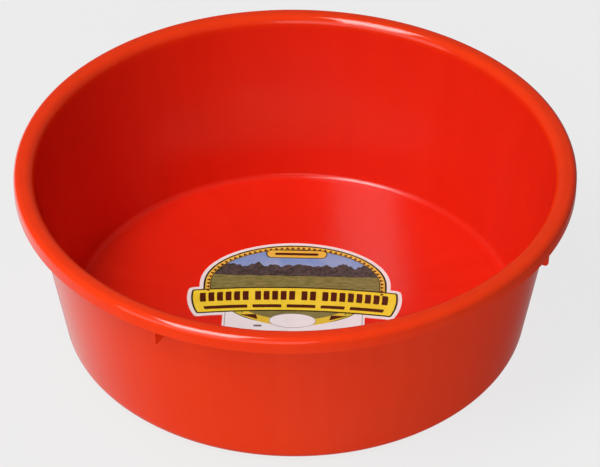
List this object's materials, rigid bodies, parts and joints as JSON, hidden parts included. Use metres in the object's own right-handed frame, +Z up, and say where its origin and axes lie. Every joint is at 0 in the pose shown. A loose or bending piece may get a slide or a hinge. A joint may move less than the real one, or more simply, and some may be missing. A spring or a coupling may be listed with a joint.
{
  "type": "feed pan",
  "caption": "Low round moulded feed bucket with a tapered wall, a rolled rim with stacking ribs and a flat floor carrying a stuck-on label.",
  "frame": {"origin": "centre of the underside, on the surface that the pan stands on", "axes": "+Z up through the open top, -Y towards the side that is nearest when the label reads upright, +X to the right of it"},
  "size_m": [0.3048, 0.3048, 0.104],
  "materials": {
    "pan_plastic": "glossy orange-red polyethylene with fine flow streaks and light handling scuffs",
    "label_film": "printed white film, sky over a field above a yellow band",
    "label_adhesive": "thin milky adhesive layer seen only at the label's edge"
  },
  "bodies": {
    "root": {"floor_panel": "pan_plastic", "foot_ring": "pan_plastic", "base_corner": "pan_plastic", "side_wall": "pan_plastic", "rim_crown": "pan_plastic", "rim_skirt": "pan_plastic", "stacking_rib_1": "pan_plastic", "stacking_rib_2": "pan_plastic", "stacking_rib_3": "pan_plastic", "stacking_rib_4": "pan_plastic", "label_film": "label_film", "label_adhesive": "label_adhesive"}
  },
  "joints": []
}
